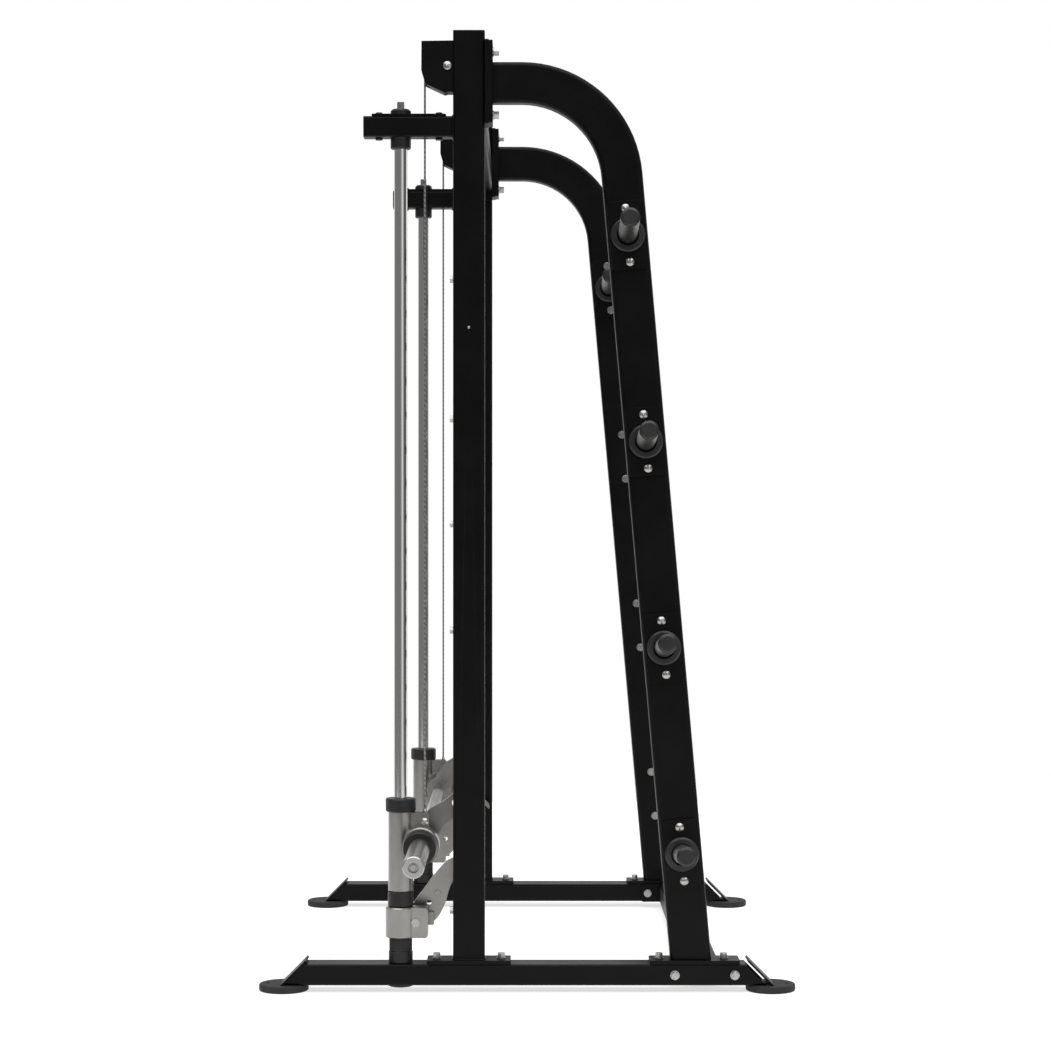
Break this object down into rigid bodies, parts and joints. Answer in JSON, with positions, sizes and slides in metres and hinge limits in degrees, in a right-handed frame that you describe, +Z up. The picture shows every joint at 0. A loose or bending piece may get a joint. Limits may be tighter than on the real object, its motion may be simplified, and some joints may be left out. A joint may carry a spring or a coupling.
{
  "type": "cable-counterbalanced smith machine",
  "caption": "Counterbalanced Smith machine: a hooked barbell slides on chrome guide rods between black tube frames, with plate storage horns on bent rear legs.",
  "frame": {"origin": "on the floor, midway between the four feet", "axes": "+Z up, +Y to the back of the machine, +X along the bar to its right end"},
  "size_m": [2.126, 1.2866, 2.3],
  "materials": {
    "frame_paint": "satin black powder coat",
    "collar_plastic": "matt black",
    "bumper_rubber": "matt dark grey",
    "chrome": "polished",
    "silver_paint": "satin silver powder coat",
    "bar_steel": "satin",
    "horn_steel": "satin",
    "ring_black": "satin black",
    "zinc": "bright zinc plate",
    "cable": "steel cable in a grey jacket",
    "pulley_nylon": "black nylon",
    "cast_iron": "rough"
  },
  "bodies": {
    "frame": {"base_rail_right": "frame_paint", "base_rail_left": "frame_paint", "foot_pads": "bumper_rubber", "rail_end_plates": "frame_paint", "upright_right": "frame_paint", "upright_left": "frame_paint", "tube_caps": "collar_plastic", "rear_leg_right": "frame_paint", "rear_leg_left": "frame_paint", "base_plates": "frame_paint", "flange_plates": "frame_paint", "lower_crossbar": "frame_paint", "upper_crossbar": "frame_paint", "top_arm_right": "frame_paint", "top_arm_left": "frame_paint", "arm_plates": "frame_paint", "guide_rod_right": "chrome", "guide_rod_left": "chrome", "rod_top_bosses": "collar_plastic", "rod_top_bolts": "zinc", "rod_ferrules": "collar_plastic", "rod_bumpers": "bumper_rubber", "rod_bottom_caps": "collar_plastic", "peg_racks": "frame_paint", "pegs": "silver_paint", "pulley_covers": "frame_paint", "pulley_axles": "zinc", "horn_plates": "frame_paint", "horn_rings": "bumper_rubber", "horns": "horn_steel", "horn_caps": "collar_plastic", "horn_bolts": "zinc", "base_bolts": "zinc", "flange_bolts": "zinc", "crossbar_bolts": "zinc", "face_bolts": "zinc", "arm_bolts": "collar_plastic", "side_rivets": "zinc", "stop_block_right": "silver_paint", "stop_block_left": "silver_paint", "stop_pins": "zinc", "cables_over": "cable"},
    "carriage": {"carriage_right": "silver_paint", "carriage_left": "silver_paint", "carriage_collars": "collar_plastic", "cable_fittings": "zinc", "cables_front": "cable"},
    "bar": {"bar_shaft": "bar_steel", "bar_rings": "ring_black", "bar_sleeves": "bar_steel", "sleeve_bolts": "zinc", "bar_hooks": "silver_paint"},
    "stop_hook_right": {"stop_hook_right": "silver_paint"},
    "stop_hook_left": {"stop_hook_left": "silver_paint"},
    "pulley_right": {"pulley_right": "pulley_nylon"},
    "pulley_left": {"pulley_left": "pulley_nylon"},
    "counterweight_right": {"counterweight_right": "cast_iron", "cable_rear_right": "cable"},
    "counterweight_left": {"counterweight_left": "cast_iron", "cable_rear_left": "cable"}
  },
  "joints": [
    {"name": "bar_slide", "type": "slide", "parent": "frame", "child": "carriage", "axis": [0, 0, 1], "range_m": [0, 1.54], "deforming": ["cables_front"]},
    {"name": "bar_turn", "type": "hinge", "parent": "carriage", "child": "bar", "pos_m": [0, -0.2555, 0.348], "axis": [1, 0, 0], "range_deg": [-34, 90]},
    {"name": "stop_lift_right", "type": "hinge", "parent": "frame", "child": "stop_hook_right", "pos_m": [0.665, -0.267, 0.164], "axis": [1, 0, 0], "range_deg": [0, 15]},
    {"name": "stop_lift_left", "type": "hinge", "parent": "frame", "child": "stop_hook_left", "pos_m": [-0.665, -0.267, 0.164], "axis": [1, 0, 0], "range_deg": [0, 15]},
    {"name": "pulley_turn_right", "type": "hinge", "parent": "frame", "child": "pulley_right", "pos_m": [0.665, -0.191, 2.215], "axis": [1, 0, 0], "range_deg": [-1625, 0]},
    {"name": "pulley_turn_left", "type": "hinge", "parent": "frame", "child": "pulley_left", "pos_m": [-0.665, -0.191, 2.215], "axis": [1, 0, 0], "range_deg": [-1625, 0]},
    {"name": "weight_slide_right", "type": "slide", "parent": "frame", "child": "counterweight_right", "axis": [0, 0, 1], "range_m": [-1.545, 0], "deforming": ["cable_rear_right"]},
    {"name": "weight_slide_left", "type": "slide", "parent": "frame", "child": "counterweight_left", "axis": [0, 0, 1], "range_m": [-1.545, 0], "deforming": ["cable_rear_left"]}
  ],
  "couplings": [
    {"joint": "pulley_turn_right", "follows": "bar_slide", "rad_per_m": -18.349},
    {"joint": "pulley_turn_left", "follows": "bar_slide", "rad_per_m": -18.349},
    {"joint": "weight_slide_right", "follows": "bar_slide", "ratio": -1},
    {"joint": "weight_slide_left", "follows": "bar_slide", "ratio": -1}
  ]
}
